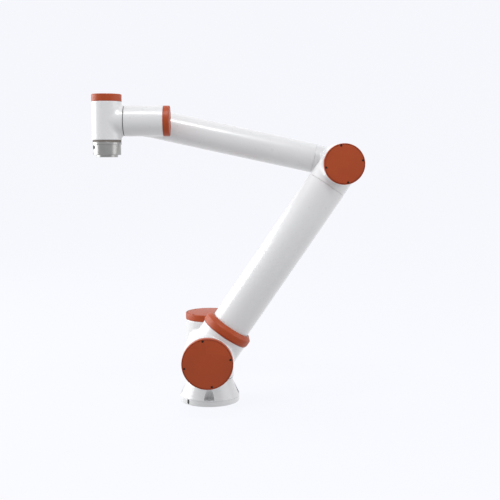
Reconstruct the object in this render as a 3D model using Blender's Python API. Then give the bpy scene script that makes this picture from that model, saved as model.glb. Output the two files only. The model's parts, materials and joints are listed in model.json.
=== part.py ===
"""Six-axis collaborative robot arm: a foot, six joint modules, two tubes and a tool flange.

Metres. The origin is the centre of the foot's underside, on the base joint's axis, and +Z is up.
The shoulder reaches out towards -Y, and the two arm tubes lie in planes parallel to XZ.
"""

import math
from dataclasses import dataclass

import bmesh
import bpy
from mathutils import Matrix, Vector

# Kinematic layout
UPPER_ARM = 0.700
FOREARM = 0.592
UPPER_ARM_RISE = math.radians(55.75)
FOREARM_RISE = math.radians(12.15)
SHOULDER_HEIGHT = 0.172
UPPER_ARM_PLANE = 0.158
FOREARM_PLANE = 0.040
WRIST_OFFSET = 0.109

# Fits
GAP = 0.0003
SEAM = 0.002
RUNNING = 0.0006
EPS = 0.001
CHAMFER = 0.0015
WELD = 0.00001
BOARD_THICKNESS = 0.0024

# Foot
FOOT_RIM_RADIUS = 0.0936
FOOT_RIM_HEIGHT = 0.020
FOOT_TOP_RADIUS = 0.0705
FOOT_HEIGHT = 0.075
FOOT_FLARE_POWER = 1.15
FOOT_FLARE_STEPS = 5
FOOT_BORE = 0.040
FOOT_FLOOR = 0.008
FOOT_WALL = 0.009
BOLT_CIRCLE_RADIUS = 0.083
BOLT_HOLE_RADIUS = 0.0045
POCKET_FLOOR_RADIUS = 0.0185
POCKET_ROOF_RADIUS = 0.006
POCKET_HEIGHT = 0.036
SOCKET_RADIUS = 0.0160
SOCKET_HEIGHT = 0.045
SOCKET_ANGLE = math.radians(45)
SOCKET_HOLE_START = 0.045
SOCKET_HOLE_END = 0.110
SOCKET_SEAT = 0.055
SOCKET_FACE = 0.089
SOCKET_LIP = 0.003
SOCKET_DEPTH = 0.012
PLUG_RADIUS = 0.0045
PLUG_STRAIGHT = 0.005
PLUG_DEPTH = 0.0067
PLUG_INSET = 0.0012
PLUG_ANGLE = math.radians(225)

# Tubes
UPPER_TUBE_RADIUS = 0.0593
UPPER_TUBE_WALL = 0.004
FORE_TUBE_RADIUS = 0.0440
FORE_TUBE_WALL = 0.0035
SPIGOT_LENGTH = 0.016
SPIGOT_WALL = 0.003
COLLAR_LENGTH = 0.0320
COLLAR_START_RADIUS = 0.0732
COLLAR_RADIUS = 0.0756
COLLAR_START_CHAMFER = 0.006
COLLAR_END_CHAMFER = 0.010
COLLAR_END_RADIUS = 0.0655

# Elbow casting, behind the elbow module
ELBOW_MATING_PLANE = 0.096
ELBOW_CASTING_RADIUS = 0.054
ELBOW_CASTING_WALL = 0.006
ELBOW_CASTING_BACK = 0.048
ELBOW_CASTING_OPENING = 0.030
ELBOW_CASTING_PORT = 0.0432
BACK_COVER_THICKNESS = 0.006

# Tool flange
TOOL_RING_RADIUS = 0.0425
TOOL_RING_DEPTH = 0.0117
TOOL_BODY_RADIUS = 0.0405
TOOL_BODY_DEPTH = 0.030
TOOL_FACE_RADIUS = 0.0315
TOOL_FACE_DEPTH = 0.0065
TOOL_RECESS_RADIUS = 0.01575
TOOL_RECESS_DEPTH = 0.0062
TOOL_HOLE_CIRCLE = 0.025
TOOL_HOLE_RADIUS = 0.0025
TOOL_HOLE_DEPTH = 0.009
TOOL_WAY = 0.008
CONNECTOR_RADIUS = 0.0060
CONNECTOR_DEPTH = 0.010
CONNECTOR_TIP = 0.0010
CONNECTOR_CHAMFER = 0.0006
CONNECTOR_ANGLE = math.radians(208)
CONNECTOR_DROP = 0.0078

# Caps and their screws
CAP_SKIN = 0.003
CAP_DROP = 0.004
SEAT_CIRCLE_FACTOR = 0.91
SEAT_RADIUS = 0.0034
SEAT_DEPTH = 0.004
SEAT_TURN = math.radians(11)
BASE_SEAT_TURN = math.radians(44)

SMALL_SEGMENTS = 6
HOLE_SEGMENTS = 14

FINISHES = {
    "white_shell": ((0.80, 0.80, 0.81), 0.28, 0.0),
    "orange_lid": ((0.43, 0.066, 0.026), 0.38, 0.0),
    "grey_metal": ((0.27, 0.27, 0.27), 0.38, 0.9),
    "steel": ((0.50, 0.50, 0.50), 0.30, 1.0),
    "copper": ((0.55, 0.24, 0.10), 0.45, 0.8),
    "dark_plastic": ((0.02, 0.02, 0.02), 0.55, 0.0),
    "board_green": ((0.02, 0.13, 0.05), 0.60, 0.0),
}


@dataclass
class Joint:
    """One joint module. Its own frame has +Z towards the cap and +X towards the side port."""

    name: str
    origin: Vector
    cap_axis: Vector
    port_axis: Vector
    radius: float
    wall: float
    back: float
    front: float
    cap: float
    port_radius: float
    port_length: float
    port_bore: float
    spigot_radius: float
    housing_body: str
    output_body: str
    seat_turn: float = SEAT_TURN

    @property
    def matrix(self):
        z, x = self.cap_axis.normalized(), self.port_axis.normalized()
        turn = Matrix((x, z.cross(x), z)).transposed()
        return Matrix.Translation(self.origin) @ turn.to_4x4()

    @property
    def bore(self):
        return self.radius - self.wall

    @property
    def opening(self):
        return 0.80 * self.radius


def direction(rise, side):
    """Unit vector in the XZ plane, `rise` above horizontal, towards +X or -X."""
    return Vector((side * math.cos(rise), 0, math.sin(rise)))


UPPER_DIR = direction(UPPER_ARM_RISE, 1)
FORE_DIR = direction(FOREARM_RISE, -1)
SHOULDER = Vector((0, -UPPER_ARM_PLANE, SHOULDER_HEIGHT))
ELBOW = SHOULDER + UPPER_ARM * UPPER_DIR
ELBOW_BACK = Vector((ELBOW.x, -FOREARM_PLANE, ELBOW.z))
WRIST_1 = ELBOW_BACK + FOREARM * FORE_DIR
WRIST_2 = WRIST_1 + Vector((0, -WRIST_OFFSET, 0))
WRIST_3 = WRIST_2 + Vector((-WRIST_OFFSET, 0, 0))

UP, FORWARD, BACKWARD, RIGHT = (
    Vector((0, 0, 1)), Vector((0, -1, 0)), Vector((0, 1, 0)), Vector((1, 0, 0)))

UPPER_SPIGOT = UPPER_TUBE_RADIUS - UPPER_TUBE_WALL - GAP
FORE_SPIGOT = FORE_TUBE_RADIUS - FORE_TUBE_WALL - GAP
BASE_PORT = 0.082
SHOULDER_PORT = 0.0885
ELBOW_PORT = 0.075
WRIST_1_PORT = 0.060
WRIST_1_BACK = 0.048
WRIST_2_BACK = 0.0567

JOINTS = [
    Joint("base", Vector((0, 0, SHOULDER_HEIGHT)), UP, FORWARD, radius=0.0752, wall=0.007,
          back=SHOULDER_HEIGHT - FOOT_HEIGHT - SEAM, front=0.0910, cap=0.020, port_radius=0.0715,
          port_length=BASE_PORT, port_bore=0.040, spigot_radius=0,
          housing_body="shoulder", output_body="base", seat_turn=BASE_SEAT_TURN),
    Joint("shoulder", SHOULDER, FORWARD, UPPER_DIR, radius=0.0757, wall=0.007,
          back=UPPER_ARM_PLANE - BASE_PORT - SEAM, front=0.074, cap=0.020, port_radius=0.0722,
          port_length=SHOULDER_PORT, port_bore=0, spigot_radius=UPPER_SPIGOT,
          housing_body="upper_arm", output_body="shoulder"),
    Joint("elbow", ELBOW, FORWARD, -UPPER_DIR, radius=0.0591, wall=0.006,
          back=UPPER_ARM_PLANE - ELBOW_MATING_PLANE, front=0.065, cap=0.019, port_radius=0.0582,
          port_length=ELBOW_PORT, port_bore=0, spigot_radius=UPPER_SPIGOT,
          housing_body="upper_arm", output_body="forearm"),
    Joint("wrist_1", WRIST_1, BACKWARD, -FORE_DIR, radius=0.0447, wall=0.0045,
          back=WRIST_1_BACK, front=0.048, cap=0.0187, port_radius=0.0438,
          port_length=WRIST_1_PORT, port_bore=0, spigot_radius=FORE_SPIGOT,
          housing_body="forearm", output_body="wrist_1"),
    Joint("wrist_2", WRIST_2, RIGHT, BACKWARD, radius=0.0447, wall=0.0045,
          back=WRIST_2_BACK, front=0.0567, cap=0.0187, port_radius=0.0438,
          port_length=WRIST_OFFSET - WRIST_1_BACK - SEAM, port_bore=0.022, spigot_radius=0,
          housing_body="wrist_1", output_body="wrist_2"),
    Joint("wrist_3", WRIST_3, UP, RIGHT, radius=0.0440, wall=0.0045,
          back=0.0552, front=0.0560, cap=0.0212, port_radius=0.0427,
          port_length=WRIST_OFFSET - WRIST_2_BACK - SEAM, port_bore=0.022, spigot_radius=0,
          housing_body="wrist_2", output_body="tool"),
]

# Body name, the body that carries it, and a point on the joint's axis
PIVOTS = [
    ("base", None, Vector((0, 0, 0))),
    ("shoulder", "base", JOINTS[0].origin),
    ("upper_arm", "shoulder", SHOULDER),
    ("forearm", "upper_arm", ELBOW),
    ("wrist_1", "forearm", WRIST_1),
    ("wrist_2", "wrist_1", WRIST_2),
    ("tool", "wrist_2", WRIST_3),
]


def clear_scene():
    for obj in list(bpy.data.objects):
        bpy.data.objects.remove(obj, do_unlink=True)


def make_finishes():
    made = {}
    for name, (colour, roughness, metallic) in FINISHES.items():
        mat = bpy.data.materials.new(name)
        mat.use_nodes = True
        shader = mat.node_tree.nodes["Principled BSDF"]
        shader.inputs["Base Color"].default_value = (*colour, 1)
        shader.inputs["Roughness"].default_value = roughness
        shader.inputs["Metallic"].default_value = metallic
        made[name] = mat
    return made


def make_pivots():
    """One empty for each moving body, nested like the arm, each on its joint's axis."""
    made, places = {}, {}
    for name, carrier, place in PIVOTS:
        empty = bpy.data.objects.new(f"pivot_{name}", None)
        bpy.context.collection.objects.link(empty)
        empty.parent = made.get(carrier)
        empty.location = place - places.get(carrier, Vector())
        made[name], places[name] = empty, place
    for joint in JOINTS:
        name = f"{joint.name}_rotor"
        empty = bpy.data.objects.new(f"pivot_{name}", None)
        bpy.context.collection.objects.link(empty)
        empty.parent = made[joint.housing_body]
        empty.location = joint.origin - places[joint.housing_body]
        made[name], places[name] = empty, joint.origin
    return made, places


def segments_for(radius):
    """A multiple of four that grows with the radius."""
    return 8 + 4 * round(radius / 0.012)


def slack(radius, segments):
    """Inner radius whose flats still clear a part of this radius that turns inside it."""
    return (radius + RUNNING) / math.cos(math.pi / segments)


def turned(profile, segments=None):
    """Closed solid from a closed (radius, height) outline turned about Z."""
    segments = segments or segments_for(max(radius for radius, _ in profile))
    bm = bmesh.new()
    rings = []
    for radius, height in profile:
        count = segments if radius > 0 else 1
        rings.append([
            bm.verts.new((radius * math.cos(2 * math.pi * k / segments),
                          radius * math.sin(2 * math.pi * k / segments), height))
            for k in range(count)])
    for ring, following in zip(rings, rings[1:] + rings[:1]):
        if len(ring) == len(following) == 1:
            continue
        for k in range(segments):
            corners = [ring[k % len(ring)], ring[(k + 1) % len(ring)],
                       following[(k + 1) % len(following)], following[k % len(following)]]
            bm.faces.new(list(dict.fromkeys(corners)))
    bmesh.ops.recalc_face_normals(bm, faces=bm.faces)
    mesh = bpy.data.meshes.new("turned")
    bm.to_mesh(mesh)
    bm.free()
    mesh.shade_smooth()
    mesh.set_sharp_from_angle(angle=math.radians(35))
    return mesh


def rod(radius, low, high, segments=None):
    return turned([(0, low), (radius, low), (radius, high), (0, high)], segments)


def obround(radius, straight, low, high):
    """Upright slot shape in XY, `straight` long between its round ends, from low to high in Z."""
    half = SMALL_SEGMENTS // 2
    outline = []
    for side, start in ((1, 0), (-1, math.pi)):
        for k in range(half + 1):
            angle = start + math.pi * k / half
            outline.append((radius * math.cos(angle),
                            side * straight / 2 + radius * math.sin(angle)))
    bm = bmesh.new()
    lower, upper = ([bm.verts.new((x, y, z)) for x, y in outline] for z in (low, high))
    bm.faces.new(lower)
    bm.faces.new(upper)
    for k in range(len(outline)):
        following = (k + 1) % len(outline)
        bm.faces.new((lower[k], lower[following], upper[following], upper[k]))
    bmesh.ops.recalc_face_normals(bm, faces=bm.faces)
    mesh = bpy.data.meshes.new("obround")
    bm.to_mesh(mesh)
    bm.free()
    return mesh


def along_x(mesh):
    mesh.transform(Matrix.Rotation(math.pi / 2, 4, "Y"))
    return mesh


class Builder:
    def __init__(self):
        self.finishes = make_finishes()
        self.pivots, self.places = make_pivots()

    def piece(self, name, mesh, finish, body, matrix):
        """A named piece that rides on `body`, placed by its world matrix."""
        mesh.name = name
        obj = bpy.data.objects.new(name, mesh)
        bpy.context.collection.objects.link(obj)
        mesh.materials.append(self.finishes[finish])
        obj.parent = self.pivots[body]
        obj.matrix_local = Matrix.Translation(-self.places[body]) @ matrix
        return obj

    def boolean(self, target, mesh, operation, local=None):
        """Cut `mesh` from `target` or join it on, in the target's own frame."""
        tool = bpy.data.objects.new(f"{target.name}_{operation.lower()}", mesh)
        bpy.context.collection.objects.link(tool)
        tool.parent = target
        tool.matrix_local = local or Matrix()
        tool.hide_render = True
        tool.display_type = "WIRE"
        step = target.modifiers.new(tool.name, "BOOLEAN")
        step.solver = "EXACT"
        step.operation = operation
        step.object = tool
        tidy = target.modifiers.new(f"{tool.name}_weld", "WELD")
        tidy.merge_threshold = WELD

    def cut(self, target, mesh, local=None):
        self.boolean(target, mesh, "DIFFERENCE", local)

    def join(self, target, mesh, local=None):
        self.boolean(target, mesh, "UNION", local)


def around(angle, radius, height=0.0):
    return Matrix.Translation((radius * math.cos(angle), radius * math.sin(angle), height))


def barrel_with_port(b, name, body, matrix, radius, wall, back, front, opening, port):
    """White casting: a barrel open at the front, with a smaller opening behind and a side port."""
    port_radius, port_length, port_bore, spigot_radius = port
    around_barrel = segments_for(radius)
    # A spigot has as many sides as the tube that slides over it
    around_port = segments_for(spigot_radius + UPPER_TUBE_WALL) if spigot_radius else around_barrel
    shell = b.piece(name, turned([
        (0, -back), (radius - CHAMFER, -back), (radius, -back + CHAMFER), (radius, front),
        (0, front)], around_barrel), "white_shell", body, matrix)
    stub = [(0, 0), (port_radius, 0), (port_radius, port_length)]
    end = port_length
    if spigot_radius:
        end += SPIGOT_LENGTH
        stub += [(spigot_radius, port_length), (spigot_radius, end)]
        port_bore = spigot_radius - SPIGOT_WALL
    b.join(shell, along_x(turned(stub + [(0, end)], around_port)))
    bore = radius - wall
    b.cut(shell, turned([
        (0, -back - EPS), (opening, -back - EPS), (opening, -back + wall), (bore, -back + wall),
        (bore, front + EPS), (0, front + EPS)], around_barrel))
    b.cut(shell, along_x(rod(port_bore, bore / 2, end + EPS, around_port // 2)))
    return shell


def make_cap(b, joint):
    """Lid with a rim that drops into the barrel, and four screw seats in its face."""
    top, seat = joint.front + joint.cap, joint.front + GAP
    plug = joint.bore - GAP
    lid = b.piece(f"{joint.name}_cap", turned([
        (0, top), (joint.radius - 2 * CHAMFER, top), (joint.radius, top - 2 * CHAMFER),
        (joint.radius, seat), (plug, seat), (plug, seat - CAP_DROP),
        (plug - CAP_SKIN, seat - CAP_DROP), (plug - CAP_SKIN, top - 2 * CAP_SKIN),
        (0, top - 2 * CAP_SKIN)]),
        "orange_lid", joint.housing_body, joint.matrix)
    seats = bmesh.new()
    for k in range(4):
        place = around(joint.seat_turn + k * math.pi / 2, SEAT_CIRCLE_FACTOR * joint.radius, top)
        bmesh.ops.create_cone(seats, cap_ends=True, segments=SMALL_SEGMENTS, radius1=SEAT_RADIUS,
                              radius2=SEAT_RADIUS, depth=2 * SEAT_DEPTH, matrix=place)
    mesh = bpy.data.meshes.new("seats")
    seats.to_mesh(mesh)
    seats.free()
    level = joint.matrix.to_3x3().inverted()
    b.cut(lid, mesh, (level @ seat_frame(joint)).to_4x4())


def seat_frame(joint):
    """Turns the screw pattern to the same clock position on every cap."""
    z = joint.cap_axis.normalized()
    x = RIGHT if abs(z.x) < 0.5 else BACKWARD
    return Matrix((x, z.cross(x), z)).transposed()


def make_internals(b, joint):
    """Strain-wave gear, motor, brake and drive board, stacked from the output end to the cap."""
    inside = joint.bore - GAP
    floor = -joint.back + joint.wall
    length = joint.front - floor
    around_ring = segments_for(joint.radius) // 2

    def level(share):
        return floor + share * length

    def ring(part, outline, finish, body):
        b.piece(f"{joint.name}_{part}", turned(outline, around_ring), finish, body, joint.matrix)

    def band(part, inner, low, high, finish):
        ring(part, [(inner, low), (inside, low), (inside, high), (inner, high)], finish,
             joint.housing_body)

    skin = 0.0015
    way = 0.16 * joint.radius
    shaft = way + skin
    cup = 0.56 * joint.radius
    magnet = 0.52 * joint.radius
    disc_low, disc_high = -joint.back - SEAM + GAP, floor - 0.4 * joint.wall
    rim = joint.opening - RUNNING
    ring("output_flange", [
        (shaft + skin, disc_low), (rim, disc_low), (rim, floor), (cup, floor),
        (cup, level(0.26)), (cup - skin, level(0.26)), (cup - skin, disc_high),
        (shaft + skin, disc_high)], "steel", joint.output_body)
    ring("gear_ring", [
        (joint.opening, floor + RUNNING), (inside, floor + RUNNING), (inside, level(0.28)),
        (cup + skin, level(0.28)), (cup + skin, level(0.12)), (joint.opening, level(0.08))],
        "steel", joint.housing_body)
    ring("rotor", [
        (way, level(0.14)), (cup - 2 * skin, level(0.14)), (cup - 2 * skin, level(0.24)),
        (shaft, level(0.24)), (shaft, level(0.38)), (magnet, level(0.38)),
        (magnet, level(0.60)), (shaft, level(0.60)), (shaft, level(0.88)), (way, level(0.88))],
        "steel", f"{joint.name}_rotor")
    band("stator", slack(magnet, around_ring), level(0.36), level(0.62), "copper")
    band("brake", slack(shaft, around_ring), level(0.68), level(0.78), "grey_metal")
    board = level(0.84)
    band("drive_board", slack(shaft, around_ring), board, board + BOARD_THICKNESS, "board_green")


def make_joint(b, joint):
    barrel_with_port(
        b, f"{joint.name}_housing", joint.housing_body, joint.matrix, joint.radius, joint.wall,
        joint.back, joint.front, joint.opening,
        (joint.port_radius, joint.port_length, joint.port_bore, joint.spigot_radius))
    make_cap(b, joint)
    make_internals(b, joint)


def foot_radius(share):
    spread = FOOT_RIM_RADIUS - FOOT_TOP_RADIUS
    return FOOT_TOP_RADIUS + spread * (1 - share) ** FOOT_FLARE_POWER


def make_foot(b):
    steps = [k / FOOT_FLARE_STEPS for k in range(FOOT_FLARE_STEPS + 1)]
    rise = FOOT_HEIGHT - FOOT_RIM_HEIGHT
    flare = [(foot_radius(s), FOOT_RIM_HEIGHT + s * rise) for s in steps]
    foot = b.piece("base_foot", turned(
        [(0, 0), (FOOT_RIM_RADIUS - CHAMFER, 0), (FOOT_RIM_RADIUS, CHAMFER)] + flare
        + [(0, FOOT_HEIGHT)]), "white_shell", "base", Matrix())
    inside = FOOT_TOP_RADIUS - 2 * FOOT_WALL
    b.cut(foot, turned([
        (0, FOOT_FLOOR), (inside, FOOT_FLOOR), (inside, FOOT_HEIGHT - 2 * FOOT_WALL),
        (FOOT_BORE, FOOT_HEIGHT - FOOT_WALL), (FOOT_BORE, FOOT_HEIGHT + EPS),
        (0, FOOT_HEIGHT + EPS)]))
    for k in range(4):
        angle = k * math.pi / 2
        b.cut(foot, turned([
            (0, -EPS), (BOLT_HOLE_RADIUS, -EPS), (BOLT_HOLE_RADIUS, FOOT_RIM_HEIGHT),
            (POCKET_FLOOR_RADIUS, FOOT_RIM_HEIGHT),
            (POCKET_ROOF_RADIUS, FOOT_RIM_HEIGHT + POCKET_HEIGHT),
            (0, FOOT_RIM_HEIGHT + POCKET_HEIGHT)], HOLE_SEGMENTS),
            around(angle, BOLT_CIRCLE_RADIUS))
    facing = Matrix.Rotation(math.pi / 2, 4, "Y")
    back_right = Matrix.Rotation(SOCKET_ANGLE, 4, "Z") @ Matrix.Translation(
        (0, 0, SOCKET_HEIGHT)) @ facing
    lip = SOCKET_RADIUS - SOCKET_LIP
    b.cut(foot, rod(SOCKET_RADIUS + GAP, SOCKET_HOLE_START, SOCKET_HOLE_END, HOLE_SEGMENTS),
          back_right)
    b.piece("base_connector", turned([
        (0, SOCKET_SEAT), (SOCKET_RADIUS, SOCKET_SEAT), (SOCKET_RADIUS, SOCKET_FACE),
        (lip, SOCKET_FACE), (lip, SOCKET_FACE - SOCKET_DEPTH), (0, SOCKET_FACE - SOCKET_DEPTH)],
        HOLE_SEGMENTS), "dark_plastic", "base", back_right)
    front_left = Matrix.Rotation(PLUG_ANGLE, 4, "Z") @ Matrix.Translation(
        (0, 0, FOOT_RIM_HEIGHT / 2)) @ facing @ Matrix.Rotation(math.pi / 2, 4, "Z")
    seat = FOOT_RIM_RADIUS - PLUG_DEPTH
    b.cut(foot, obround(PLUG_RADIUS + GAP, PLUG_STRAIGHT, seat - GAP, FOOT_RIM_RADIUS + EPS),
          front_left)
    b.piece("base_plug", obround(PLUG_RADIUS, PLUG_STRAIGHT, seat, FOOT_RIM_RADIUS - PLUG_INSET),
            "dark_plastic", "base", front_left)


def along(origin, axis):
    """Frame at `origin` with +Z along `axis`, which lies in the XZ plane."""
    z = axis.normalized()
    y = Vector((0, 1, 0))
    return Matrix.Translation(origin) @ Matrix((y.cross(z), y, z)).transposed().to_4x4()


def pipe(outer, inner, low, high):
    return turned([(inner, low), (outer, low), (outer, high), (inner, high)])


def make_links(b):
    upper, fore = along(SHOULDER, UPPER_DIR), along(ELBOW_BACK, FORE_DIR)
    start, end = SHOULDER_PORT + GAP, SHOULDER_PORT + GAP + COLLAR_LENGTH
    sleeve = UPPER_TUBE_RADIUS + GAP
    b.piece("upper_arm_collar", turned([
        (sleeve, start), (COLLAR_START_RADIUS, start),
        (COLLAR_RADIUS, start + COLLAR_START_CHAMFER), (COLLAR_RADIUS, end - COLLAR_END_CHAMFER),
        (COLLAR_END_RADIUS, end), (sleeve, end)],
        segments_for(UPPER_TUBE_RADIUS)), "orange_lid", "upper_arm", upper)
    b.piece("upper_arm_tube", pipe(
        UPPER_TUBE_RADIUS, UPPER_TUBE_RADIUS - UPPER_TUBE_WALL, start,
        UPPER_ARM - ELBOW_PORT - GAP), "white_shell", "upper_arm", upper)
    b.piece("forearm_tube", pipe(
        FORE_TUBE_RADIUS, FORE_TUBE_RADIUS - FORE_TUBE_WALL, ELBOW_PORT + GAP,
        FOREARM - WRIST_1_PORT - GAP), "white_shell", "forearm", fore)


def make_elbow_casting(b):
    """The forearm's lower end, behind the elbow module, with a lid on its back."""
    mating = UPPER_ARM_PLANE - FOREARM_PLANE - JOINTS[2].back - SEAM
    z, x = BACKWARD, FORE_DIR
    turn = Matrix((x, z.cross(x), z)).transposed().to_4x4()
    matrix = Matrix.Translation(ELBOW_BACK) @ turn
    barrel_with_port(
        b, "elbow_casting", "forearm", matrix, ELBOW_CASTING_RADIUS, ELBOW_CASTING_WALL, mating,
        ELBOW_CASTING_BACK, ELBOW_CASTING_OPENING,
        (ELBOW_CASTING_PORT, ELBOW_PORT, 0, FORE_SPIGOT))
    seat, top = ELBOW_CASTING_BACK + GAP, ELBOW_CASTING_BACK + BACK_COVER_THICKNESS
    plug = ELBOW_CASTING_RADIUS - ELBOW_CASTING_WALL - GAP
    b.piece("elbow_back_cover", turned([
        (0, top), (ELBOW_CASTING_RADIUS - 2 * CHAMFER, top),
        (ELBOW_CASTING_RADIUS, top - 2 * CHAMFER), (ELBOW_CASTING_RADIUS, seat), (plug, seat),
        (plug, seat - CAP_DROP), (0, seat - CAP_DROP)]), "white_shell", "forearm", matrix)


def make_tool_flange(b):
    """Grey output body under the last module, with the tool face at its lower end."""
    top = -JOINTS[-1].back - SEAM
    ring = top - TOOL_RING_DEPTH
    body = ring - TOOL_BODY_DEPTH
    face = body - TOOL_FACE_DEPTH
    flange = b.piece("tool_flange", turned([
        (TOOL_WAY, top), (TOOL_RING_RADIUS, top), (TOOL_RING_RADIUS, ring), (TOOL_BODY_RADIUS, ring),
        (TOOL_BODY_RADIUS, body), (TOOL_FACE_RADIUS, body), (TOOL_FACE_RADIUS, face),
        (TOOL_RECESS_RADIUS, face), (TOOL_RECESS_RADIUS, face + TOOL_RECESS_DEPTH),
        (TOOL_WAY, face + TOOL_RECESS_DEPTH)]), "grey_metal", "tool", JOINTS[-1].matrix)
    for k in range(4):
        b.cut(flange, rod(TOOL_HOLE_RADIUS, face - EPS, face + TOOL_HOLE_DEPTH, SMALL_SEGMENTS),
              around(math.pi / 4 + k * math.pi / 2, TOOL_HOLE_CIRCLE))
    side = Matrix.Rotation(CONNECTOR_ANGLE, 4, "Z") @ Matrix.Translation(
        (0, 0, ring - CONNECTOR_DROP)) @ Matrix.Rotation(math.pi / 2, 4, "Y")
    seat, tip = TOOL_BODY_RADIUS - CONNECTOR_DEPTH, TOOL_BODY_RADIUS + CONNECTOR_TIP
    b.cut(flange, rod(CONNECTOR_RADIUS + GAP, seat - GAP, TOOL_RING_RADIUS, HOLE_SEGMENTS), side)
    b.piece("tool_connector", turned([
        (0, seat), (CONNECTOR_RADIUS, seat), (CONNECTOR_RADIUS, tip - CONNECTOR_CHAMFER),
        (CONNECTOR_RADIUS - CONNECTOR_CHAMFER, tip), (0, tip)], HOLE_SEGMENTS), "dark_plastic",
        "tool", JOINTS[-1].matrix @ side)


def main():
    clear_scene()
    b = Builder()
    make_foot(b)
    for joint in JOINTS:
        make_joint(b, joint)
    make_links(b)
    make_elbow_casting(b)
    make_tool_flange(b)


main()
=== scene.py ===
"""Looks of the six-axis arm: smooth castings, lids, tubes, seals, screws and finishes.

Metres, in the frame's own axes. A piece of a joint module is built in the module's own frame,
with +Z towards the lid and +X towards the side port, and rides on the body of the CAD node
that it stands for.
"""

import json
import math

import bmesh
import bpy
from mathutils import Matrix, Vector


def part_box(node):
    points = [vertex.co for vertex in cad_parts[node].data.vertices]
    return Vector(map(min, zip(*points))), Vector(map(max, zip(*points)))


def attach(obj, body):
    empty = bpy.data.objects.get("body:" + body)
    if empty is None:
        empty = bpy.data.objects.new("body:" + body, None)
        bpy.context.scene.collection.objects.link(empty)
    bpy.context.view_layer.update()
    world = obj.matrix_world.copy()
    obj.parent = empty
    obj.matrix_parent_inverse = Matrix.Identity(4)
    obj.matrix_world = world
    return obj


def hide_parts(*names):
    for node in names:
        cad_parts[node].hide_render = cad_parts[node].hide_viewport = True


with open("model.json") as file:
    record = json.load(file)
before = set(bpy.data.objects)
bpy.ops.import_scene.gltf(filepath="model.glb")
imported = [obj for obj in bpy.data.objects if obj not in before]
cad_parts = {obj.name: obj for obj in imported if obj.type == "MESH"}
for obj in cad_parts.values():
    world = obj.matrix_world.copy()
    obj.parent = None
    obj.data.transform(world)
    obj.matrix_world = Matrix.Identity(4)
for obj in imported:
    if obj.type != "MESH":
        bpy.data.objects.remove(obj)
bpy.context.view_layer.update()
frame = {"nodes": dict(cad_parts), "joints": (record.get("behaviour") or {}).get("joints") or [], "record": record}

# Fits and edges shared by the castings
SEAM = 0.002
GAP = 0.0003
EDGE = 0.0008
FILLET = 0.0042
FILLET_SPREAD = 0.06
SPIGOT = 0.016
BACK_OPENING = 0.80
LID_EDGE = 0.0014
LID_GROOVE = 0.0038
LID_GROOVE_WIDTH = 0.0018
LID_GROOVE_DEPTH = 0.0022

# Mesh density and shading
SHARP_ANGLE = math.radians(32)
HALF_TURN = 64
SIDE_ROWS = 28
AROUND = 128
AROUND_FINE = 192
AROUND_MEDIUM = 64
AROUND_SMALL = 32

# Screws
HEAD_RADIUS = 0.0027
HEAD_SUNK = 0.0012
KEY_SHARE = 0.55
COUNTERSINK = 0.0012
PROUD = 0.0008
SEAT_CIRCLE = 0.905
SEAT_RADIUS = 0.0034
SEAT_DEPTH = 0.0040
COVER_SEAT_DEPTH = 0.0034
SEAT_TURN = math.radians(11)
BASE_SEAT_TURN = math.radians(44)

# Foot
FOOT_RIM_RADIUS = 0.0936
FOOT_RIM_HEIGHT = 0.020
FOOT_GROOVE_HEIGHT = 0.0160
FOOT_TOP_RADIUS = 0.0705
FOOT_FLARE_POWER = 1.15
FOOT_BORE = 0.040
BOLT_CIRCLE_RADIUS = 0.083
BOLT_HOLE_RADIUS = 0.0045
POCKET_FLOOR_RADIUS = 0.0185
POCKET_ROOF_RADIUS = 0.006
POCKET_HEIGHT = 0.036
SOCKET_ANGLE = math.radians(45)
SOCKET_HEIGHT = 0.045
PLUG_ANGLE = math.radians(225)

# Tubes
UPPER_TUBE_WALL = 0.004
FORE_TUBE_WALL = 0.0035
UPPER_SPIGOT_RADIUS = 0.0550
FORE_SPIGOT_RADIUS = 0.0402
COLLAR_START_RADIUS = 0.0732
COLLAR_START_CHAMFER = 0.006
COLLAR_END_CHAMFER = 0.010
COLLAR_END_RADIUS = 0.0655

# Tool flange
TOOL_GROOVE_DEPTH = 0.0046
TOOL_NECK_RADIUS = 0.0335
TOOL_RING_RADIUS, TOOL_RING_END = 0.0425, 0.0117
TOOL_BODY_RADIUS, TOOL_BODY_END = 0.0405, 0.0417
TOOL_FACE_RADIUS, TOOL_FACE_END = 0.0315, 0.0482
TOOL_RECESS_RADIUS, TOOL_RECESS_DEPTH = 0.01575, 0.0062
TOOL_WAY = 0.008
TOOL_HOLE_CIRCLE = 0.025
CONNECTOR_ANGLE = math.radians(208)
CONNECTOR_DROP = 0.0078

# Camera
CAMERA_LENS = 64.905
CAMERA_PLACE = (0.08811, -2.81713, 0.77782)
CAMERA_DOWN = math.radians(6.05)
CAMERA_TURN = math.radians(-0.80)

BACKWARD, RIGHT = Vector((0, 1, 0)), Vector((1, 0, 0))

BODY_OF = {
    node: body
    for body, members in frame["record"]["behaviour"]["bodies"].items()
    for node in members
}
AXIS_AT = {
    joint["name"].removesuffix("_joint"): Vector(joint["pos_m"])
    for joint in frame["joints"]
    if joint["name"].endswith("_joint")
}
SHOULDER, ELBOW = AXIS_AT["shoulder"], AXIS_AT["elbow"]
ELBOW_BACK = Vector((ELBOW.x, AXIS_AT["wrist_1"].y, ELBOW.z))


# ---------------------------------------------------------------- materials


def node(tree, kind, **settings):
    made = tree.nodes.new(kind)
    for name, value in settings.items():
        setattr(made, name, value)
    return made


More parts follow.
